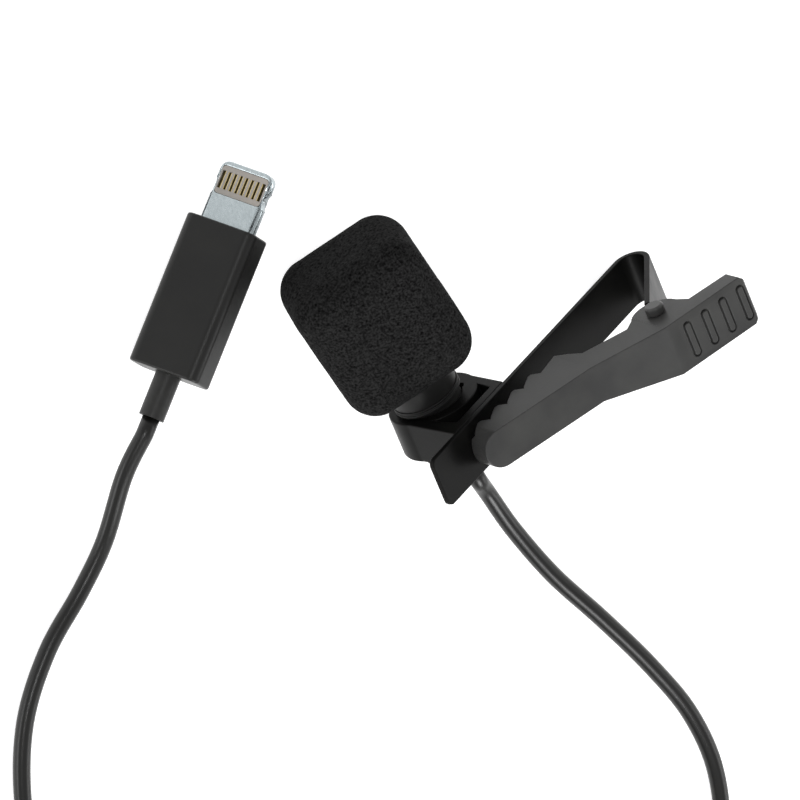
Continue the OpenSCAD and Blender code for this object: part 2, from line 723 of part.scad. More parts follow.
module plug_tongue() {
    side_r = tongue_h / 2 - 0.05;
    detent_r = 1.6;
    color(bright_steel) plug_place() difference() {
        intersection() {
            translate([0, 0, tongue_root]) linear_extrude(tongue_len - tongue_root)
                rounded_box(-tongue_w / 2, tongue_w / 2, -tongue_h / 2, tongue_h / 2, side_r);
            rotate([90, 0, 0]) linear_extrude(2 * tongue_h, center = true)
                rounded_box(-tongue_w / 2, tongue_w / 2, tongue_root, tongue_len, 1.3);
        }
        window(window_w, window_z0, window_z1, 2 * tongue_h);
        bar(board_w + 2 * hair, board_h + 2 * hair, tongue_root - 1, window_z0 + 0.5);
        for (s = [-1, 1]) translate([s * (tongue_w / 2 + detent_r - 0.4), 0, 3.9])
            rotate([90, 0, 0]) cylinder(r = detent_r, h = 2, center = true, $fn = arc_fn);
    }
}

module contact_row(extra, h) {
    for (i = [0:contact_count - 1])
        translate([(i - (contact_count - 1) / 2) * contact_pitch, 0, contact_z])
            cube([contact_w + extra, h, contact_len + extra], center = true);
}

module contact_insert() {
    h = tongue_h - 0.06;
    color("#a8a29b") plug_place() difference() {
        window(window_w - 2 * hair, window_z0 + hair, window_z1 - hair, h);
        for (s = [-1, 1]) translate([0, s * h / 2, 0]) contact_row(2 * hair, 0.3);
    }
}

module contacts(side) {
    color(gold) plug_place() translate([0, side * (tongue_h / 2 - 0.1), 0])
        contact_row(0, 0.13);
}
module contacts_front() { contacts(-1); }
module contacts_back() { contacts(1); }

module plug_board() {
    color(board_green) plug_place() bar(board_w, board_h, board_back, window_z0 - hair);
}

module converter_chip() {
    color(soft_black) plug_place() translate([0, -board_h / 2 - hair - 0.4, 0])
        bar(3, 0.8, -10.5, -7.5);
}

// Block that grips the tongue's root inside the housing
module plug_inner_mould() {
    w = housing_w - 2 * housing_t - 2 * hair;
    h = housing_h - 2 * housing_t - 2 * hair;
    color(soft_black) plug_place() difference() {
        translate([0, 0, -6]) linear_extrude(6 - 0.8 - hair)
            rounded_box(-w / 2, w / 2, -h / 2, h / 2, housing_edge_r - housing_t);
        translate([0, 0, tongue_root - hair]) linear_extrude(10)
            rounded_box(-tongue_w / 2 - hair, tongue_w / 2 + hair, -tongue_h / 2 - hair,
                        tongue_h / 2 + hair, tongue_h / 2 - 0.03);
        bar(board_w + 2 * hair, board_h + 2 * hair, -7, 0);
    }
}

module plug_housing() {
    color(soft_black) plug_place() difference() {
        translate([0, 0, -housing_len]) linear_extrude(housing_len)
            rounded_box(-housing_w / 2, housing_w / 2, -housing_h / 2, housing_h / 2,
                        housing_edge_r);
        translate([0, 0, 1 - housing_len]) linear_extrude(housing_len - 1 - 0.8)
            rounded_box(housing_t - housing_w / 2, housing_w / 2 - housing_t,
                        housing_t - housing_h / 2, housing_h / 2 - housing_t,
                        housing_edge_r - housing_t);
        translate([0, 0, -1]) linear_extrude(2)
            rounded_box(-tongue_w / 2 - hair, tongue_w / 2 + hair, -tongue_h / 2 - hair,
                        tongue_h / 2 + hair, tongue_h / 2 - 0.03);
        disc(sleeve_r + hair, -housing_len - 1, -housing_len + 2);
    }
}

module plug_sleeve() {
    flange_r = sleeve_r + 0.25;
    inner = 1 - housing_len + hair;
    color(cable_black) plug_place() {
        disc(sleeve_r, plug_back, inner + 0.2);
        disc(flange_r, inner, inner + 0.9);
    }
}

// Crimp that holds the cable, with a tail soldered to each face of the board
module cable_ferrule() {
    z0 = 1 - housing_len + 0.92 + 2 * hair;
    tail_h = 0.3;
    color(bright_steel) plug_place() {
        disc(1.25, z0, board_back - 0.1);
        for (s = [-1, 1]) translate([0, s * (board_h / 2 + hair + tail_h / 2), 0])
            bar(0.9, tail_h, z0 + 0.5, board_back + 1.2);
    }
}

clip_strap();
ring_bracket();
hinge_pin();
torsion_spring();
spring_arm();
clip_lever();
foam_windscreen();
mic_barrel();
front_grille();
acoustic_felt();
electret_cell();
cell_gasket();
mic_board();
mic_collar();
rear_cap();
mic_strain_relief();
cable_mic_side();
cable_coil();
cable_plug_side();
cable_tie();
plug_tongue();
contact_insert();
contacts_front();
contacts_back();
plug_board();
converter_chip();
plug_inner_mould();
plug_housing();
plug_sleeve();
cable_ferrule();
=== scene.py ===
"""Looks of the lavalier microphone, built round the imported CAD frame. Metres, +Z up.
Named sizes and places are in millimetres, unless a comment says otherwise.

The microphone and its sprung lapel clip lie on a pale table. The cable runs to a
stored coil and on to a flat metal-tongued plug, which lies beside the foam.
"""

import math

import bmesh
import bpy
from mathutils import Matrix, Vector


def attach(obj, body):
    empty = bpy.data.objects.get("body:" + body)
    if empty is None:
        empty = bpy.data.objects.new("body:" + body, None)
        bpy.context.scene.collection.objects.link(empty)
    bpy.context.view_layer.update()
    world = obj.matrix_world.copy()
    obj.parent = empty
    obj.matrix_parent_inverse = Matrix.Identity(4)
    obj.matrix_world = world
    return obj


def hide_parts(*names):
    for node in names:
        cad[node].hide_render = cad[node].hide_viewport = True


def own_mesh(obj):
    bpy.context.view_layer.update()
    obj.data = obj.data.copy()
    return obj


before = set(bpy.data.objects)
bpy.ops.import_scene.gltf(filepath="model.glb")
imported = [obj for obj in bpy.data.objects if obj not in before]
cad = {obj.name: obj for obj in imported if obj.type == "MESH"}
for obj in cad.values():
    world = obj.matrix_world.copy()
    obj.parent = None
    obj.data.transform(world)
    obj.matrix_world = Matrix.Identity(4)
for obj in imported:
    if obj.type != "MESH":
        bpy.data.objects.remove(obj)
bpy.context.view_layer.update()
MM = 0.001


# ---- Camera ----
# The camera's right, the way back to it, the point in mid-view and how far that is, in metres
RIGHT = Vector((-0.8086, 0.4346, 0.3964))
TOWARD = Vector((0.3051, -0.2664, 0.9143))
LOOK_AT = Vector((15.14, 3.98, 5.50)) * MM
VIEW_DISTANCE = 1.0
SENSOR_MM, LENS_MM = 36, 405


def place_camera():
    """A long lens, high over the table and turned so that the clip runs across it."""
    camera = bpy.data.objects.new("camera", bpy.data.cameras.new("camera"))
    bpy.context.scene.collection.objects.link(camera)
    camera.data.sensor_width = SENSOR_MM
    camera.data.lens = LENS_MM * VIEW_DISTANCE
    camera.data.clip_start, camera.data.clip_end = 0.1, 10
    up = TOWARD.cross(RIGHT).normalized()
    turn = Matrix((RIGHT, up, TOWARD)).transposed().to_4x4()
    camera.matrix_world = Matrix.Translation(LOOK_AT + TOWARD * VIEW_DISTANCE) @ turn
    bpy.context.scene.camera = camera


place_camera()


# ---- Meshes ----
# In metres, how near two points are one, and the angle under which two faces are one
SAME_PLACE = 1e-6
SAME_PLANE = math.radians(0.5)
SHARP_EDGE = math.radians(28)
EDGE_STEPS = 2


def new_piece(name, mesh, material, body, replaced=()):
    """A finished piece at the origin that rides on a CAD body."""
    piece = bpy.data.objects.new(name, mesh)
    bpy.context.scene.collection.objects.link(piece)
    piece.data.materials.clear()
    piece.data.materials.append(material)
    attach(piece, body)
    if replaced:
        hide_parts(*replaced)
    return piece


def settled(piece):
    """The piece's mesh with its modifiers worked in."""
    bpy.context.view_layer.update()
    depsgraph = bpy.context.evaluated_depsgraph_get()
    return bpy.data.meshes.new_from_object(piece.evaluated_get(depsgraph), depsgraph=depsgraph)


def scratch(mesh):
    """A throw-away object that carries modifiers until its mesh is settled."""
    piece = bpy.data.objects.new("scratch", mesh)
    bpy.context.scene.collection.objects.link(piece)
    return piece


def softened(node, width):
    """A copy of a CAD node's mesh with its sharp edges rounded, width in millimetres."""
    bm = bmesh.new()
    bm.from_mesh(cad[node].data)
    bmesh.ops.remove_doubles(bm, verts=bm.verts, dist=SAME_PLACE)
    bmesh.ops.dissolve_limit(bm, angle_limit=SAME_PLANE, verts=bm.verts, edges=bm.edges)
    mesh = bpy.data.meshes.new(node + "_soft")
    bm.to_mesh(mesh)
    bm.free()
    mesh.shade_smooth()
    piece = scratch(mesh)
    bevel = piece.modifiers.new("rounded edges", "BEVEL")
    bevel.width = width * MM
    bevel.segments = EDGE_STEPS
    bevel.limit_method = "ANGLE"
    bevel.angle_limit = SHARP_EDGE
    bevel.use_clamp_overlap = False
    piece.modifiers.new("flat faces stay flat", "WEIGHTED_NORMAL")
    result = settled(piece)
    bpy.data.objects.remove(piece)
    return result


# ---- Cable ----
CABLE_R = 1.0
CABLE_SIDES = 14
CABLE_STEPS = 8
# The stored coil: middle, mean width, layers, spacing of turns and layers, and the height
# of its lowest layer
COIL_C = Vector((46, 65, 0))
COIL_MEAN_D = 24
LAYER_TURNS = 4.25
LAYERS = 4
TURN_POINTS = 40
COIL_PITCH = 2.45
COIL_IN_R = (COIL_MEAN_D - LAYER_TURNS * COIL_PITCH) / 2
COIL_OUT_R = (COIL_MEAN_D + LAYER_TURNS * COIL_PITCH) / 2
COIL_Z = 1.5


def smooth(points, steps):
    """A smooth curve through the points, with so many steps between neighbours."""
    points = [Vector(p) for p in points]
    last = len(points) - 1
    line = []
    for i in range(last):
        a, b, c, d = points[max(i - 1, 0)], points[i], points[i + 1], points[min(i + 2, last)]
        for k in range(steps):
            t = k / steps
            line.append(0.5 * (2 * b + t * (c - a) + t * t * (2 * a - 5 * b + 4 * c - d)
                               + t ** 3 * (3 * b - a - 3 * c + d)))
    return line + [points[last]]


def wound(turn):
    """Where the stored cable is after so many turns: in, out, in and out again."""
    layer = min(int(turn // LAYER_TURNS), LAYERS - 1)
    along = turn - layer * LAYER_TURNS
    radius = COIL_IN_R + along * COIL_PITCH if layer % 2 else COIL_OUT_R - along * COIL_PITCH
    height = COIL_Z
    # The cable climbs to the next layer over the half turn round a layer's end.
    for k in range(1, LAYERS):
        height += COIL_PITCH * min(max(2 * (turn - k * LAYER_TURNS) + 0.5, 0), 1)
    a = 2 * math.pi * turn
    return COIL_C + Vector((radius * math.sin(a), radius * math.cos(a), height))


# Where the cable leaves the microphone, and its way there; the plug's place, its axis
# towards the tongue, and where on that axis its back end is
CABLE_EXIT = Vector((10.8081, 15.533, 4.08405))
CABLE_HEADING = Vector((-0.137819, 0.968378, -0.207965))
PLUG_AXIS = Vector((-0.788011, -0.615661, 0))
PLUG_AT = Vector((23.6, -23.0, 4.42693))
PLUG_BACK = -22.7


def cable_line():
    """The cable's centreline, in millimetres, from the microphone to the plug."""
    coil_start = COIL_C + Vector((-2, COIL_OUT_R, COIL_Z))
    coil_stop = COIL_C + Vector((2, COIL_OUT_R, COIL_Z + (LAYERS - 1) * COIL_PITCH))
    from_mic = smooth(
        [CABLE_EXIT + 2 * CABLE_HEADING,
         (9.8, 19.6, 2.3), (8.7, 25.2, 1.4), (6.8, 32.3, 1.1), (4.0, 39.6, 1.1),
         (1.3, 47.5, 1.1), (-0.4, 55, 1.1), (0, 62.5, 1.1), (3.2, 69.8, 1.1), (9.4, 75.8, 1.1),
         (17.5, 79.8, 1.1), (26.5, 81.8, 1.1),
         coil_start - Vector((11, 0, 0.2)), coil_start - Vector((2, 0, 0))], CABLE_STEPS)
    coil = [wound(i / TURN_POINTS) for i in range(int(LAYERS * LAYER_TURNS * TURN_POINTS) + 1)]
    plug_end = PLUG_AT + PLUG_BACK * PLUG_AXIS
    to_plug = smooth(
        [coil_stop + Vector((2, 0, 0)),
         (57.5, 81.2, 6.6), (66, 76.6, 3.4), (72.5, 69.2, 1.5), (76, 60, 1.1), (77.6, 50, 1.1),
         (77.8, 40, 1.1), (76.6, 30.5, 1.1), (73.8, 21.6, 1.1), (69.4, 14, 1.1),
         (63.4, 8.4, 1.1), (56.9, 4.6, 1.1), (51.9, 0.9, 1.7),
         plug_end - 7 * PLUG_AXIS - Vector((0, 0, 1.0)), plug_end - 2 * PLUG_AXIS],
        CABLE_STEPS)
    line = ([CABLE_EXIT - 0.4 * CABLE_HEADING] + from_mic + [coil_start] + coil + [coil_stop]
            + to_plug + [plug_end + 0.3 * PLUG_AXIS])
    return [p * MM for p in line]


def tube_along(name, line, radius, sides):
    """A closed tube; each point keeps where it lies round and along the tube."""
    verts, lies, faces = [], [], []
    across = Vector((0, 0, 1))
    run = 0.0
    for i, p in enumerate(line):
        ahead = (line[min(i + 1, len(line) - 1)] - line[max(i - 1, 0)]).normalized()
        across = (across - across.dot(ahead) * ahead).normalized()
        other = ahead.cross(across)
        run += (p - line[i - 1]).length if i else 0.0
        for k in range(sides):
            a = 2 * math.pi * k / sides
            verts.append(p + radius * (math.cos(a) * across + math.sin(a) * other))
            lies.append((math.cos(a) * radius, math.sin(a) * radius, run))
    for i in range(len(line) - 1):
        for k in range(sides):
            j = (k + 1) % sides
            near, far = i * sides, (i + 1) * sides
            faces.append((near + k, near + j, far + j, far + k))
    faces.append(tuple(reversed(range(sides))))
    faces.append(tuple((len(line) - 1) * sides + k for k in range(sides)))
    mesh = bpy.data.meshes.new(name)
    mesh.from_pydata(verts, [], faces)
    lie = mesh.attributes.new("lie", "FLOAT_VECTOR", "POINT")
    lie.data.foreach_set("vector", [x for v in lies for x in v])
    mesh.shade_smooth()
    return mesh


# ---- Materials ----
# Where noise, which gathers round a half, takes a finish's first and last value
NOISE_LOW, NOISE_HIGH = 0.3, 0.7
NOISE_RANGE = {"From Min": NOISE_LOW, "From Max": NOISE_HIGH}
# A wave pattern at this scale has a band every half millimetre
THREAD_SCALE = 630.0


def linear(hexa):
    """An sRGB hex value as a linear colour."""
    parts = [int(hexa[i:i + 2], 16) / 255 for i in (1, 3, 5)]
    return [v / 12.92 if v <= 0.04045 else ((v + 0.055) / 1.055) ** 2.4 for v in parts] + [1.0]


def add(tree, kind, sockets=None, stops=(), to=None, **settings):
    """Adds a node, sets it up, and fills or links its sockets, by name or by place. Stops
    are a colour ramp's places and sRGB colours, and to is what the first output feeds."""
    node = tree.nodes.new(kind)
    for name, value in settings.items():
        setattr(node, name, value)
    for name, value in (sockets or {}).items():
        if isinstance(value, bpy.types.NodeSocket):
            tree.links.new(value, node.inputs[name])
        else:
            node.inputs[name].default_value = value
    for i, (place, colour) in enumerate(stops):
        stop = node.color_ramp.elements[i]
        stop.position, stop.color = place, linear(colour)
    if to is not None:
        tree.links.new(node.outputs[0], to)
    return node


def new_material(name, roughness, ior=1.5, metallic=0.0, coat=0.0, sheen=0.0, specular=0.5):
    """A material with its shader's plain numbers set; returns it, its tree and the
    shader's sockets. A metal keeps the default IOR."""
    material = bpy.data.materials.new(name)
    material.use_nodes = True
    shader = material.node_tree.nodes["Principled BSDF"].inputs
    shader["Roughness"].default_value = roughness
    if not metallic:
        shader["IOR"].default_value = ior
    shader["Metallic"].default_value = metallic
    shader["Coat Weight"].default_value = coat
    shader["Coat Roughness"].default_value = 0.2
    shader["Sheen Weight"].default_value = sheen
    shader["Specular IOR Level"].default_value = specular
    return material, material.node_tree, shader


def grain(tree, size, detail=3.0, stretch=(1, 1, 1), turn=(0, 0, 0)):
    """Cloudy noise whose blobs are about size millimetres across."""
    where = add(tree, "ShaderNodeTexCoord").outputs["Object"]
    placed = add(tree, "ShaderNodeMapping",
                 {"Vector": where, "Scale": stretch, "Rotation": turn}).outputs["Vector"]
    return add(tree, "ShaderNodeTexNoise",
               {"Vector": placed, "Scale": 1 / (size * MM), "Detail": detail}).outputs["Fac"]


def powder_coated_steel(name, low, high, roughness, specular):
    """Baked enamel on spring steel: near black, satin, with a fine orange peel."""
    material, tree, shader = new_material(name, roughness, specular=specular)
    cloud = grain(tree, 4.0, 4)
    add(tree, "ShaderNodeValToRGB", {"Fac": cloud},
        ((NOISE_LOW, low), (NOISE_HIGH, high)), shader["Base Color"])
    add(tree, "ShaderNodeMapRange",
        {"Value": cloud, **NOISE_RANGE, "To Min": roughness - 0.04, "To Max": roughness + 0.05},
        to=shader["Roughness"])
    add(tree, "ShaderNodeBump", {"Height": grain(tree, 0.35, 2), "Distance": 0.004 * MM},
        to=shader["Normal"])
    return material


def moulded_abs(name, low, high, roughness):
    """Spark-textured ABS: an even satin with a very fine pitted grain."""
    material, tree, shader = new_material(name, roughness, ior=1.53, specular=0.2)
    pits = grain(tree, 0.16, 2)
    add(tree, "ShaderNodeValToRGB", {"Fac": grain(tree, 6.0)},
        ((NOISE_LOW, low), (NOISE_HIGH, high)), shader["Base Color"])
    add(tree, "ShaderNodeMapRange",
        {"Value": pits, **NOISE_RANGE, "To Min": roughness - 0.02, "To Max": roughness + 0.02},
        to=shader["Roughness"])
    add(tree, "ShaderNodeBump", {"Height": pits, "Distance": 0.003 * MM}, to=shader["Normal"])
    return material


def anodised_aluminium(name, low, high, roughness):
    """Black dyed anodising over turned aluminium: dark, with a fine dull tooth."""
    material, tree, shader = new_material(name, roughness, ior=1.6, specular=0.2)
    add(tree, "ShaderNodeValToRGB", {"Fac": grain(tree, 3.0)},
        ((NOISE_LOW, low), (NOISE_HIGH, high)), shader["Base Color"])
    add(tree, "ShaderNodeBump", {"Height": grain(tree, 0.15, 2), "Distance": 0.002 * MM},
        to=shader["Normal"])
    return material


def brushed_steel(name, low, high, roughness):
    """Stainless steel rubbed along the tongue: bright, with faint straight scratches.
    Real scratches are too fine to show, so these are drawn wider."""
    material, tree, shader = new_material(name, roughness, metallic=1.0)
    lines = grain(tree, 0.3, 2, stretch=(1, 0.02, 1), turn=(0, 0, math.radians(52)))
    add(tree, "ShaderNodeValToRGB", {"Fac": lines},
        ((NOISE_LOW, low), (NOISE_HIGH, high)), shader["Base Color"])
    add(tree, "ShaderNodeMapRange",
        {"Value": lines, **NOISE_RANGE, "To Min": roughness - 0.01, "To Max": roughness + 0.02},
        to=shader["Roughness"])
    add(tree, "ShaderNodeBump", {"Height": lines, "Distance": 0.0003 * MM},
        to=shader["Normal"])
    return material


def gold_plating(name, low, high):
    """Thin hard gold over nickel, a little uneven where the contacts wipe."""
    material, tree, shader = new_material(name, 0.3, metallic=1.0)
    wipe = grain(tree, 0.3)
    add(tree, "ShaderNodeValToRGB", {"Fac": wipe},
        ((NOISE_LOW, low), (NOISE_HIGH, high)), shader["Base Color"])
    add(tree, "ShaderNodeMapRange",
        {"Value": wipe, **NOISE_RANGE, "To Min": 0.24, "To Max": 0.4}, to=shader["Roughness"])
    return material


def open_cell_foam():
    """Polyurethane foam: matte black and mottled, with painted shade that darkens its open
    cells to near black below the struts between.
    """
    material, tree, shader = new_material("open_cell_foam", 0.95, ior=1.45, specular=0.08)
    pore_and_shade = add(tree, "ShaderNodeAttribute", attribute_name="pore_and_shade").outputs["Fac"]
    skin = add(tree, "ShaderNodeValToRGB", {"Fac": grain(tree, 0.25, 4)},
               ((0.36, "#080808"), (0.64, "#212121"))).outputs["Color"]
    # Painted shade: where the pore mask is high, the open cells are darkened to near black, as
    # shade in the holes.
    dark = add(tree, "ShaderNodeMix", {"Factor": pore_and_shade, "A": skin, "B": linear("#010101")},
               data_type="RGBA")
    tree.links.new(dark.outputs["Result"], shader["Base Color"])
    add(tree, "ShaderNodeBump", {"Height": grain(tree, 0.2), "Distance": 0.09 * MM},
        to=shader["Normal"])
    return material


def extruded_jacket():
    """Extruded thermoplastic elastomer: soft black gloss with fine die lines along it."""
    material, tree, shader = new_material("cable_jacket", 0.32, specular=0.33)
    lie = add(tree, "ShaderNodeAttribute", attribute_name="lie").outputs["Vector"]
    placed = add(tree, "ShaderNodeMapping", {"Vector": lie, "Scale": (1, 1, 0.004)})
    lines = add(tree, "ShaderNodeTexNoise",
                {"Vector": placed.outputs["Vector"], "Scale": 1 / (0.35 * MM),
                 "Detail": 2.0}).outputs["Fac"]
    add(tree, "ShaderNodeValToRGB", {"Fac": lines},
        ((NOISE_LOW, "#090908"), (NOISE_HIGH, "#10100f")), shader["Base Color"])
    add(tree, "ShaderNodeMapRange",
        {"Value": lines, **NOISE_RANGE, "To Min": 0.28, "To Max": 0.38}, to=shader["Roughness"])
    add(tree, "ShaderNodeBump", {"Height": lines, "Distance": 0.012 * MM, "Strength": 0.6},
        to=shader["Normal"])
    return material


def moulded_elastomer(name, low, high, roughness):
    """Soft moulded rubber: dull black with a faint bloom."""
    material, tree, shader = new_material(name, roughness, specular=0.3)
    add(tree, "ShaderNodeValToRGB", {"Fac": grain(tree, 0.8, 4)},
        ((NOISE_LOW, low), (NOISE_HIGH, high)), shader["Base Color"])
    add(tree, "ShaderNodeBump", {"Height": grain(tree, 0.1, 2), "Distance": 0.004 * MM},
        to=shader["Normal"])
    return material


def solder_mask():
    """Green solder mask over glass-epoxy board, glossy over a faint weave."""
    material, tree, shader = new_material("solder_mask_board", 0.3, ior=1.55, coat=0.4)
    add(tree, "ShaderNodeValToRGB", {"Fac": grain(tree, 0.5)},
        ((NOISE_LOW, "#1c4a31"), (NOISE_HIGH, "#2b6344")), shader["Base Color"])
    add(tree, "ShaderNodeBump", {"Height": grain(tree, 0.25), "Distance": 0.004 * MM},
        to=shader["Normal"])
    return material


def pressed_felt():
    """Needled polyester felt: dead matte, a tangle of short fibres."""
    material, tree, shader = new_material("pressed_felt", 0.95, ior=1.45, sheen=0.3)
    fibres = grain(tree, 0.12, 5, stretch=(1, 0.3, 1))
    add(tree, "ShaderNodeValToRGB", {"Fac": fibres},
        ((NOISE_LOW, "#101010"), (NOISE_HIGH, "#2c2c2c")), shader["Base Color"])
    add(tree, "ShaderNodeBump", {"Height": fibres, "Distance": 0.03 * MM},
        to=shader["Normal"])
    return material


def woven_tape():
    """Nylon hook tape: a plain weave of half-millimetre threads with a dry sheen."""
    material, tree, shader = new_material("woven_nylon_tape", 0.8, sheen=0.4)
    where = add(tree, "ShaderNodeTexCoord").outputs["Object"]
    warp, weft = (
        add(tree, "ShaderNodeTexWave", {"Vector": where, "Scale": THREAD_SCALE},
            bands_direction=way).outputs["Fac"] for way in ("X", "DIAGONAL"))
    weave = add(tree, "ShaderNodeMath", {0: warp, 1: weft}, operation="MULTIPLY").outputs[0]
    add(tree, "ShaderNodeValToRGB", {"Fac": weave},
        ((0.1, "#121212"), (0.6, "#2e2e2e")), shader["Base Color"])
    add(tree, "ShaderNodeBump", {"Height": weave, "Distance": 0.06 * MM},
        to=shader["Normal"])
    return material


strap_black = powder_coated_steel("enamelled_spring_steel", "#080808", "#0d0d0c", 0.36, 0.06)
lever_grey = powder_coated_steel("enamelled_pressed_steel", "#2d2d2d", "#343433", 0.36, 0.15)
pin_grey = powder_coated_steel("blackened_pin_steel", "#303030", "#3a3a39", 0.38, 0.3)
housing_abs = moulded_abs("moulded_abs_housing", "#131313", "#181817", 0.36)
chip_epoxy = moulded_abs("moulded_epoxy_chip", "#141414", "#1b1b1b", 0.5)
contact_nylon = moulded_abs("moulded_contact_nylon", "#85817c", "#938d87", 0.5)
barrel_black = anodised_aluminium("anodised_aluminium", "#0e0e0e", "#151514", 0.5)
tongue_steel = brushed_steel("brushed_stainless_steel", "#aab3b6", "#b6bfc2", 0.26)
spring_wire = brushed_steel("drawn_spring_wire", "#8f9496", "#b5babc", 0.3)
contact_gold = gold_plating("gold_plated_contacts", "#b9a674", "#d2c193")
contact_dark = gold_plating("tarnished_contact_lands", "#241f10", "#3a331d")
foam_black = open_cell_foam()
jacket_black = extruded_jacket()
relief_rubber = moulded_elastomer("moulded_elastomer_relief", "#111110", "#191918", 0.45)
gasket_rubber = moulded_elastomer("moulded_gasket_rubber", "#151515", "#1e1e1e", 0.6)
board_green = solder_mask()
felt_black = pressed_felt()
tape_black = woven_tape()


# ---- Cable piece ----
def make_cable():
    line = cable_line()
    mesh = tube_along("cable", line, CABLE_R * MM, CABLE_SIDES)
    cable = new_piece("cable", mesh, jacket_black, "clip",
                      ("cable_mic_side", "cable_coil", "cable_plug_side"))
    on_cable = [cad[n] for n in ("cable_tie", "plug_board", "converter_chip",
                                 "plug_inner_mould", "plug_sleeve", "cable_ferrule",
                                 "contact_insert")]
    length = sum((b - a).length for a, b in zip(line, line[1:]))
    return cable, line, length, on_cable


cable, cable_points, cable_length, on_cable = make_cable()


# ---- Foam windscreen ----
# The microphone's middle, and in its own frame the barrel and the foam that sits on it
MIC_C = Vector((11.8704, 8.06857, 5.68709))
BARREL_FRONT, BARREL_R = -18.008, 3.9
BORE_GAP, BORE_PAST, BORE_LONG, BORE_SIDES = 0.08, 0.15, 16, 72
FOAM_HALF = Vector((8.0, 6.55, 9.2))
FOAM_ROUND = 3.8
FOAM_CROWN, CROWN_FROM = 0.25, 2
FOAM_MIDDLE = Vector((-0.35, 0, -15.25))
FOAM_LEAN = math.radians(3)
FOAM_CUTS = 104
FOAM_SHARP = math.radians(50)
# How far from a cell's middle, in cells, its pore is fully open and where it ends; and
# the noise under which cells stay shut and over which they open
PORE_FULL, PORE_RIM = 0.2, 0.46
SHUT_BELOW, OPEN_ABOVE = 0.22, 0.42
PATCHES_PER_M, WAVES_PER_M = 900.0, 420.0


def mic_matrix():
    """From the microphone's own frame, z along the cable's exit and y out of the
    foam's broad face, to the row frame."""
    out = (TOWARD - TOWARD.dot(CABLE_HEADING) * CABLE_HEADING).normalized()
    turn = Matrix((out.cross(CABLE_HEADING), out, CABLE_HEADING)).transposed().to_4x4()
    return Matrix.Translation(MIC_C * MM) @ turn


def crowned_block():
    """A closed block with round edges and two crowned faces."""
    bm = bmesh.new()
    bmesh.ops.create_cube(bm, size=2)
    bmesh.ops.subdivide_edges(bm, edges=bm.edges, cuts=FOAM_CUTS, use_grid_fill=True)
    core = FOAM_HALF - Vector((FOAM_ROUND,) * 3)
    for v in bm.verts:
        face = Vector([math.tan(c * math.pi / 4) * h for c, h in zip(v.co, FOAM_HALF)])
        reach = Vector([min(max(c, -k), k) for c, k in zip(face, core)])
        point = reach + (face - reach).normalized() * FOAM_ROUND
        crown = FOAM_CROWN * ((1 - (point.x / FOAM_HALF.x) ** 2)
                              * (1 - (point.z / FOAM_HALF.z) ** 2))
        if abs(point.y) > CROWN_FROM:
            point.y += math.copysign(crown, point.y)
        v.co = point
    bm.transform(Matrix.Scale(MM, 4) @ Matrix.Translation(FOAM_MIDDLE)
                 @ Matrix.Rotation(FOAM_LEAN, 4, "Y"))
    bmesh.ops.recalc_face_normals(bm, faces=bm.faces)
    mesh = bpy.data.meshes.new("foam_block")
    bm.to_mesh(mesh)
    bm.free()
    return mesh


def barrel_drill():
    """A round bar, a little wider than the barrel, from its front to past the foam."""
    bm = bmesh.new()
    radius = (BARREL_R + BORE_GAP) * MM
    middle = Vector((0, 0, BARREL_FRONT - BORE_PAST + BORE_LONG / 2)) * MM
    bmesh.ops.create_cone(bm, cap_ends=True, segments=BORE_SIDES, radius1=radius,
                          radius2=radius, depth=BORE_LONG * MM,
                          matrix=Matrix.Translation(middle))
    mesh = bpy.data.meshes.new("bore")
    bm.to_mesh(mesh)
    bm.free()
    return mesh


def bored_block():
    """The foam's smooth block with the barrel's bore, in place on the microphone."""
    block, cutter = scratch(crowned_block()), scratch(barrel_drill())
    bore = block.modifiers.new("bore", "BOOLEAN")
    bore.operation = "DIFFERENCE"
    bore.object = cutter
    result = settled(block)
    bpy.data.objects.remove(block)
    bpy.data.objects.remove(cutter)
    result.shade_smooth()
    result.set_sharp_from_angle(angle=FOAM_SHARP)
    result.transform(mic_matrix())
    return result


def started_tree(name, inputs):
    """An empty geometry-node tree with named inputs; returns it and its inputs."""
    tree = bpy.data.node_groups.new(name, "GeometryNodeTree")
    for label, kind, value in (("Geometry", "Geometry", None), *inputs,
                               ("Material", "Material", None)):
        socket = tree.interface.new_socket(label, in_out="INPUT",
                                           socket_type="NodeSocket" + kind)
        if value is not None:
            socket.default_value = value
    tree.interface.new_socket("Geometry", in_out="OUTPUT", socket_type="NodeSocketGeometry")
    return tree, tree.nodes.new("NodeGroupInput").outputs


def ended_tree(tree, geometry, given):
    """The tree, closed with plain geometry that has the given material."""
    real = add(tree, "GeometryNodeRealizeInstances", {"Geometry": geometry}).outputs[0]
    coated = add(tree, "GeometryNodeSetMaterial",
                 {"Geometry": real, "Material": given["Material"]})
    end = tree.nodes.new("NodeGroupOutput")
    tree.links.new(coated.outputs["Geometry"], end.inputs["Geometry"])
    return tree


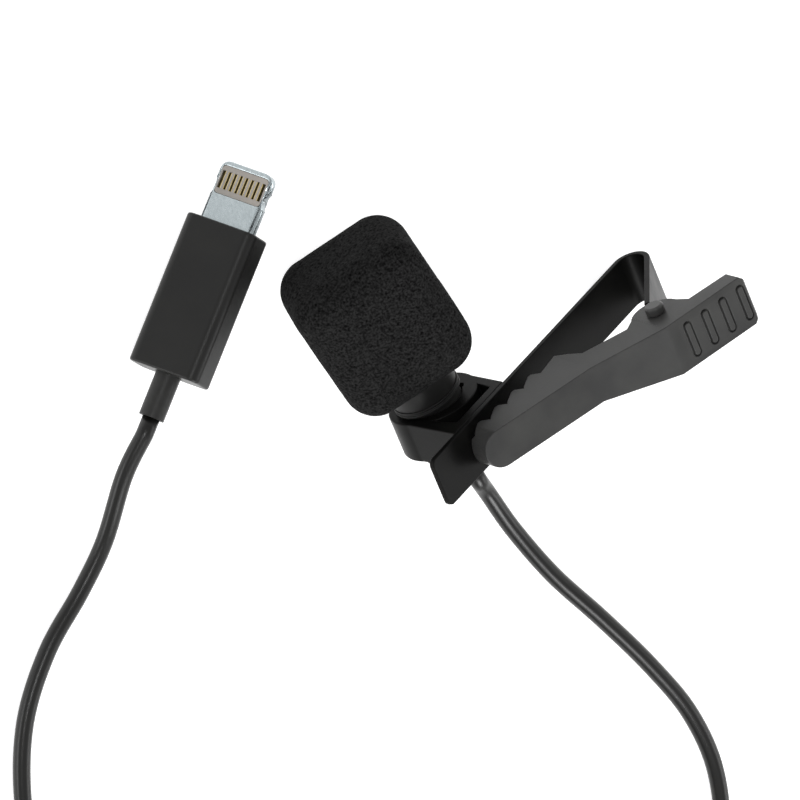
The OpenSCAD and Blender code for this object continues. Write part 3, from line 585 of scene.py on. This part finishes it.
def foam_tree():
    """Geometry nodes that open pores in a smooth shell and sink it a little, unevenly, and keep
    the pores as a mask that the foam's material darkens as painted shade.
    Each input that is a size is in metres."""
    tree, given = started_tree("foam_cells", (
        ("Cell Size", "Float", 0.00038), ("Pore Depth", "Float", 0.00014),
        ("Swell", "Float", 0.00012), ("Seed", "Float", 4.0)))
    size = add(tree, "ShaderNodeMath", {0: 1.0, 1: given["Cell Size"]},
               operation="DIVIDE").outputs[0]
    cells = add(tree, "ShaderNodeTexVoronoi", {"W": given["Seed"], "Scale": size},
                voronoi_dimensions="4D").outputs["Distance"]
    opening = add(tree, "ShaderNodeMapRange",
                  {"Value": cells, "From Min": PORE_FULL, "From Max": PORE_RIM,
                   "To Min": 1.0, "To Max": 0.0},
                  interpolation_type="SMOOTHSTEP").outputs["Result"]
    patchy = add(tree, "ShaderNodeTexNoise",
                 {"W": given["Seed"], "Scale": PATCHES_PER_M, "Detail": 2.0},
                 noise_dimensions="4D").outputs[0]
    some = add(tree, "ShaderNodeMapRange",
               {"Value": patchy, "From Min": SHUT_BELOW,
                "From Max": OPEN_ABOVE}).outputs["Result"]
    pore_and_shade = add(tree, "ShaderNodeMath", {0: opening, 1: some},
               operation="MULTIPLY").outputs[0]
    # The pore mask is stored for the foam's material, which paints shade into the pores with
    # it.
    kept = add(tree, "GeometryNodeStoreNamedAttribute",
               {"Geometry": given["Geometry"], "Name": "pore_and_shade", "Value": pore_and_shade},
               data_type="FLOAT", domain="POINT").outputs["Geometry"]
    wave = add(tree, "ShaderNodeTexNoise", {"W": given["Seed"], "Scale": WAVES_PER_M},
               noise_dimensions="4D").outputs[0]
    swell = add(tree, "ShaderNodeMath", {0: wave, 1: given["Swell"]},
                operation="MULTIPLY").outputs[0]
    dip = add(tree, "ShaderNodeMath", {0: pore_and_shade, 1: given["Pore Depth"]},
              operation="MULTIPLY").outputs[0]
    inward = add(tree, "ShaderNodeMath", {0: swell, 1: dip}, operation="ADD").outputs[0]
    back = add(tree, "ShaderNodeMath", {0: inward, 1: -1.0}, operation="MULTIPLY").outputs[0]
    normal = add(tree, "GeometryNodeInputNormal").outputs["Normal"]
    step = add(tree, "ShaderNodeVectorMath", {0: normal, "Scale": back},
               operation="SCALE").outputs["Vector"]
    moved = add(tree, "GeometryNodeSetPosition",
                {"Geometry": kept, "Offset": step}).outputs["Geometry"]
    return ended_tree(tree, moved, given)


def grown(mesh, tree, settings):
    """The mesh after a geometry-node tree has worked on it with these settings."""
    piece = scratch(mesh)
    modifier = piece.modifiers.new("grown", "NODES")
    modifier.node_group = tree
    for item in tree.interface.items_tree:
        if item.item_type == "SOCKET" and item.in_out == "INPUT" and item.name in settings:
            modifier[item.identifier] = settings[item.name]
    result = settled(piece)
    bpy.data.objects.remove(piece)
    return result


def make_foam():
    mesh = grown(bored_block(), foam_tree(), {"Material": foam_black})
    foam = new_piece("foam_windscreen_piece", mesh, foam_black, "windscreen",
                     ("foam_windscreen",))
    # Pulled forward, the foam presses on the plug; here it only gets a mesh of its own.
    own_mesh(foam)


make_foam()


# ---- Contact rows ----
# In the plug's own frame; the lands stand a little proud of the leads between them
CONTACTS, CONTACT_PITCH = 8, 0.72
CONTACT_BAR, CONTACT_LONG, CONTACT_THICK = 0.24, 2.0, 0.13
LEAD_WIDE, LEAD_THICK = CONTACT_PITCH - 1.1 * CONTACT_BAR, CONTACT_THICK - 0.04
CONTACT_RISE, CONTACT_MIDDLE = 0.65, 4.725
PLUG_TURNS = (128, -47, -90)


def plug_matrix():
    """From the plug's own frame, z out of the tongue and -y its upper face."""
    z, y, x = (math.radians(a) for a in PLUG_TURNS)
    return (Matrix.Translation(PLUG_AT * MM) @ Matrix.Rotation(z, 4, "Z")
            @ Matrix.Rotation(y, 4, "Y") @ Matrix.Rotation(x, 4, "X"))


def contact_tree():
    """Geometry nodes that lay a centred row of flat bars along x."""
    tree, given = started_tree("contact_row", (
        ("Count", "Int", CONTACTS), ("Pitch", "Float", CONTACT_PITCH * MM),
        ("Width", "Float", CONTACT_BAR * MM), ("Length", "Float", CONTACT_LONG * MM),
        ("Thickness", "Float", CONTACT_THICK * MM)))
    gaps = add(tree, "ShaderNodeMath", {0: given["Count"], 1: 1.0},
               operation="SUBTRACT").outputs[0]
    span = add(tree, "ShaderNodeMath", {0: gaps, 1: given["Pitch"]},
               operation="MULTIPLY").outputs[0]
    half = add(tree, "ShaderNodeMath", {0: span, 1: 0.5}, operation="MULTIPLY").outputs[0]
    first = add(tree, "ShaderNodeMath", {0: half, 1: -1.0}, operation="MULTIPLY").outputs[0]
    start = add(tree, "ShaderNodeCombineXYZ", {"X": first}).outputs[0]
    stop = add(tree, "ShaderNodeCombineXYZ", {"X": half}).outputs[0]
    row = add(tree, "GeometryNodeMeshLine",
              {"Count": given["Count"], "Start Location": start, "Offset": stop},
              mode="END_POINTS").outputs["Mesh"]
    size = add(tree, "ShaderNodeCombineXYZ", {"X": given["Width"], "Y": given["Thickness"],
                                              "Z": given["Length"]}).outputs[0]
    bar = add(tree, "GeometryNodeMeshCube", {"Size": size}).outputs["Mesh"]
    bars = add(tree, "GeometryNodeInstanceOnPoints", {"Points": row, "Instance": bar})
    return ended_tree(tree, bars.outputs[0], given)


def make_contacts():
    """Dark worn lands with the gold leads between them, in a row on each face."""
    tree = contact_tree()
    pieces = []
    for node, side in (("contacts_front", -1), ("contacts_back", 1)):
        place = plug_matrix() @ Matrix.Translation(
            Vector((0, side * CONTACT_RISE, CONTACT_MIDDLE)) * MM)
        for label, count, width, thick, material in (
                ("bars", CONTACTS, CONTACT_BAR, CONTACT_THICK, contact_dark),
                ("leads", CONTACTS - 1, LEAD_WIDE, LEAD_THICK, contact_gold)):
            mesh = grown(bpy.data.meshes.new("row"), tree,
                         {"Count": count, "Width": width * MM, "Thickness": thick * MM,
                          "Material": material})
            mesh.transform(place)
            pieces.append(new_piece(f"{node}_{label}", mesh, material, "clip", (node,)))
    return pieces


contact_pieces = make_contacts()


# ---- Clip, microphone and plug ----
# Each rounded node's body, finish, edge width in millimetres and slot
ROUNDED = {
    "clip_strap": ("clip", strap_black, 0.10, "black_steel"),
    "ring_bracket": ("clip", strap_black, 0.18, "black_steel"),
    "hinge_pin": ("clip", pin_grey, 0.08, "pin_steel"),
    "clip_lever": ("lever", lever_grey, 0.10, "lever_grey"),
    "mic_collar": ("microphone", barrel_black, 0.08, "anodised_black"),
    "rear_cap": ("microphone", barrel_black, 0.10, "anodised_black"),
    "mic_strain_relief": ("microphone", relief_rubber, 0.12, "cable_jacket"),
    "plug_housing": ("clip", housing_abs, 0.26, "housing_black"),
    "plug_tongue": ("clip", tongue_steel, 0.10, "bright_steel"),
}
# The nodes whose shape stays, and their finishes
PLAIN = {
    "torsion_spring": spring_wire, "spring_arm": spring_wire, "mic_barrel": barrel_black,
    "front_grille": tongue_steel, "acoustic_felt": felt_black, "electret_cell": tongue_steel,
    "cell_gasket": gasket_rubber, "mic_board": board_green, "cable_tie": tape_black,
    "contact_insert": contact_nylon, "plug_board": board_green, "converter_chip": chip_epoxy,
    "plug_inner_mould": chip_epoxy, "plug_sleeve": relief_rubber,
    "cable_ferrule": tongue_steel,
}

for node, (body, material, width, slot) in ROUNDED.items():
    new_piece(node + "_piece", softened(node, width), material, body,
                              (node,))
for node, material in PLAIN.items():
    cad[node].data.materials.clear()
    cad[node].data.materials.append(material)


# ---- Floor and light ----
# Places and sizes here are in metres
FLOOR_HALF, FLOOR_DROP = 3, 0.00002
FLOOR_GLOW = 0.7
SKY_LOW, SKY_TOP = 1.15, 0.5
LIGHT_AIM = Vector((0.012, 0.004, 0.006))
# Each soft box's place, its width and height, and its power in watts
SOFTBOXES = {
    "front_softbox": ((0.25, 0.69, 0.59), (0.45, 0.45), 8.5),
    "edge_softbox": ((0.31, -0.26, 0.90), (0.14, 0.14), 1.7),
    "left_softbox": ((0.80, -0.36, 0.16), (0.5, 0.2), 1.6),
    "right_softbox": ((-0.65, 0.45, 0.40), (0.5, 0.3), 2.0),
}


def make_floor():
    """A white sweep lit from under, so that shadows on it stay faint."""
    mesh = bpy.data.meshes.new("floor")
    corners = [(x * FLOOR_HALF, y * FLOOR_HALF, 0)
               for x, y in ((-1, -1), (1, -1), (1, 1), (-1, 1))]
    mesh.from_pydata(corners, [], [(0, 1, 2, 3)])
    floor = bpy.data.objects.new("floor", mesh)
    floor.location.z = -FLOOR_DROP
    bpy.context.scene.collection.objects.link(floor)
    material, _, shader = new_material("white_paper_sweep", 0.9)
    shader["Base Color"].default_value = linear("#cccccc")
    shader["Emission Color"].default_value = linear("#ffffff")
    shader["Emission Strength"].default_value = FLOOR_GLOW
    mesh.materials.append(material)


def area_light(name, at, size, power):
    """A rectangular soft box that faces the clip."""
    light = bpy.data.lights.new(name, "AREA")
    light.shape = "RECTANGLE"
    light.size, light.size_y = size
    light.energy = power
    lamp = bpy.data.objects.new(name, light)
    lamp.location = at
    lamp.rotation_mode = "QUATERNION"
    lamp.rotation_quaternion = (LIGHT_AIM - Vector(at)).to_track_quat("-Z", "Y")
    bpy.context.scene.collection.objects.link(lamp)


def light_table():
    """A sky brighter near the table than overhead, and four soft boxes."""
    world = bpy.data.worlds.new("studio")
    world.use_nodes = True
    tree = world.node_tree
    sky = add(tree, "ShaderNodeTexCoord").outputs["Generated"]
    height = add(tree, "ShaderNodeSeparateXYZ", {"Vector": sky}).outputs["Z"]
    add(tree, "ShaderNodeMapRange", {"Value": height, "To Min": SKY_LOW, "To Max": SKY_TOP},
        to=tree.nodes["Background"].inputs["Strength"])
    tree.nodes["Background"].inputs["Color"].default_value = linear("#ffffff")
    bpy.context.scene.world = world
    for name, (at, size, power) in SOFTBOXES.items():
        area_light(name, at, size, power)
    bpy.context.scene.view_settings.view_transform = "Standard"


make_floor()
light_table()
